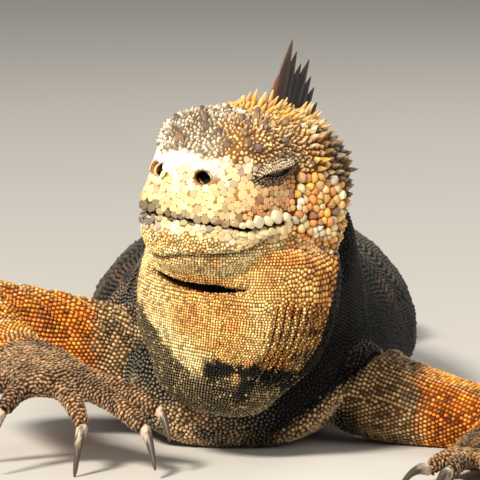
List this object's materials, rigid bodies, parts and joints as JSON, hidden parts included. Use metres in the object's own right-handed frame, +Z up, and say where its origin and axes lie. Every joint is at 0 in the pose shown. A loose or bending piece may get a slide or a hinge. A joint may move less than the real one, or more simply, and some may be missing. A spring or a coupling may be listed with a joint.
{
  "type": "marine iguana",
  "caption": "Life-size still model of an adult male marine iguana lying on its chest, head raised and turned to its right.",
  "frame": {"origin": "middle of the footprint, on the floor plane", "axes": "+Z up, +Y from head to tail, the animal faces -Y, +X is its left side"},
  "size_m": [0.2154, 0.9318, 0.1356],
  "materials": {
    "face_skin": "scaly, semi-matt",
    "throat_skin": "beaded scales, semi-matt",
    "body_skin": "beaded scales, semi-matt",
    "arm_skin": "beaded scales in rows, semi-matt",
    "foot_skin": "fine scales, semi-matt",
    "claw": "horn, glossy",
    "eye": "wet gloss"
  },
  "bodies": {
    "root": {"eye_left": "eye", "eye_right": "eye", "foot_left": "foot_skin", "foot_left_claw_1": "claw", "foot_left_claw_2": "claw", "foot_left_claw_3": "claw", "foot_left_claw_4": "claw", "foot_left_claw_5": "claw", "foot_right": "foot_skin", "foot_right_claw_1": "claw", "foot_right_claw_2": "claw", "foot_right_claw_3": "claw", "foot_right_claw_4": "claw", "foot_right_claw_5": "claw", "forearm_left": "arm_skin", "forearm_right": "arm_skin", "hand_left": "foot_skin", "hand_left_claw_1": "claw", "hand_left_claw_2": "claw", "hand_left_claw_3": "claw", "hand_left_claw_4": "claw", "hand_left_claw_5": "claw", "hand_right": "foot_skin", "hand_right_claw_1": "claw", "hand_right_claw_2": "claw", "hand_right_claw_3": "claw", "hand_right_claw_4": "claw", "hand_right_claw_5": "claw", "head": "face_skin", "hips": "body_skin", "lower_jaw": "throat_skin", "neck": "body_skin", "shank_left": "body_skin", "shank_right": "body_skin", "tail_1": "body_skin", "tail_2": "body_skin", "tail_3": "body_skin", "tail_4": "body_skin", "thigh_left": "body_skin", "thigh_right": "body_skin", "throat": "throat_skin", "torso": "body_skin", "upper_arm_left": "arm_skin", "upper_arm_right": "arm_skin"}
  },
  "joints": []
}
